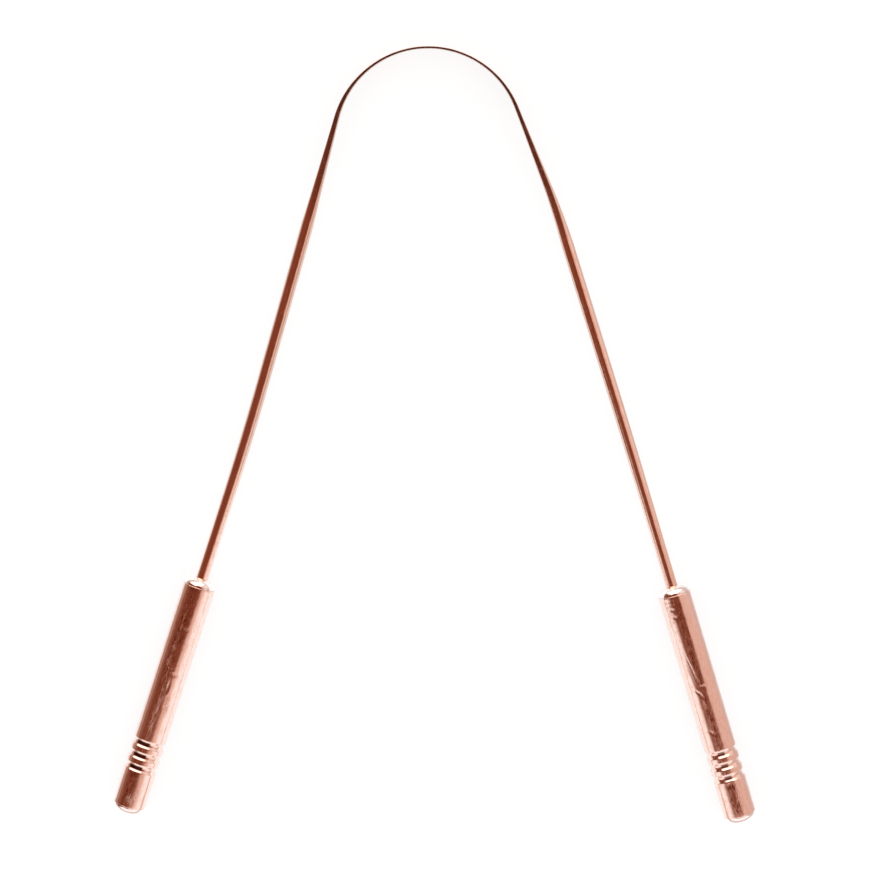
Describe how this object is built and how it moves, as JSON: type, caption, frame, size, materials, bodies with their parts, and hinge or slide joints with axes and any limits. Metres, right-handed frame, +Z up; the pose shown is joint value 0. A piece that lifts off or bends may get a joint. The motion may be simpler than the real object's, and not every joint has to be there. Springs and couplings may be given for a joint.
{
  "type": "tongue scraper",
  "caption": "Bow-shaped copper tongue scraper: round wire hammered into a thin scraping strip at the crown, with turned, grooved cylindrical handles on both ends.",
  "frame": {"origin": "Bottom centre of the whole part's box: on the plane that the part lies on, below the middle of its length and width.", "axes": "+Y runs from the handles to the crown of the bow, along the length. +Z is up, square to the plane of the bow. +X is to the right when the crown points away from the viewer."},
  "size_m": [0.117, 0.1408, 0.006],
  "materials": {
    "copper_wire": "polished",
    "copper_tube": "polished",
    "copper_cap": "polished"
  },
  "bodies": {
    "root": {"blade_wire": "copper_wire", "left_sleeve": "copper_tube", "right_sleeve": "copper_tube", "left_end_plug": "copper_cap", "right_end_plug": "copper_cap", "left_collar": "copper_cap", "right_collar": "copper_cap"}
  },
  "joints": []
}
